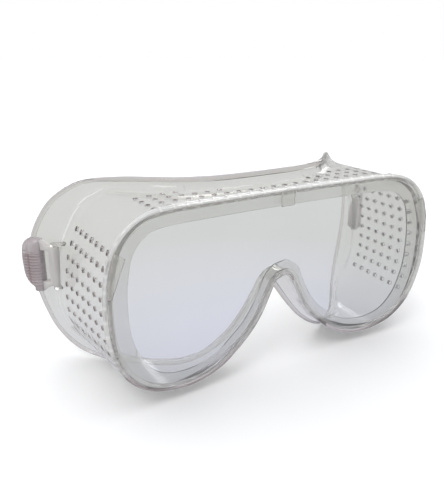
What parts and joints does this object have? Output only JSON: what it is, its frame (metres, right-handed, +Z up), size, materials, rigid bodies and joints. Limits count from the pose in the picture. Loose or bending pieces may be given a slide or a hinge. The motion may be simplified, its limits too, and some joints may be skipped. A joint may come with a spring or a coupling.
{
  "type": "safety goggles",
  "caption": "Clear vented safety goggles with one wide lens, a soft face flange, a nose arch and swinging side clips for an elastic headband.",
  "frame": {"origin": "on the mid-plane at table height, half-way between the front of the rim and the face edge", "axes": "-Y is the front, where the lens faces; +X is to the right seen from the front; +Z is up"},
  "size_m": [0.1806, 0.0654, 0.0796],
  "materials": {
    "clear_pvc": "clear soft moulding, glossy, faintly grey",
    "lens_polycarbonate": "clear sheet, polished, faint blue-grey tint",
    "clip_plastic": "smoky clear moulding, glossy"
  },
  "bodies": {
    "mask": {"front_rim": "clear_pvc", "lens_tabs": "clear_pvc", "lens": "lens_polycarbonate", "vent_wall": "clear_pvc", "cheek_wall": "clear_pvc", "brow_flange": "clear_pvc", "cheek_flange": "clear_pvc", "left_hinge_post": "clear_pvc", "right_hinge_post": "clear_pvc"},
    "left_clip": {"left_strap_clip": "clip_plastic", "left_ribbed_grip": "clip_plastic"},
    "right_clip": {"right_strap_clip": "clip_plastic", "right_ribbed_grip": "clip_plastic"}
  },
  "joints": [
    {"name": "left_clip_hinge", "type": "hinge", "parent": "mask", "child": "left_clip", "pos_m": [-0.0792, 0.0161, 0.04522], "axis": [0, 0, 1], "range_deg": [-3, 115]},
    {"name": "right_clip_hinge", "type": "hinge", "parent": "mask", "child": "right_clip", "pos_m": [0.0792, 0.0161, 0.04522], "axis": [0, 0, 1], "range_deg": [-115, 3]}
  ]
}
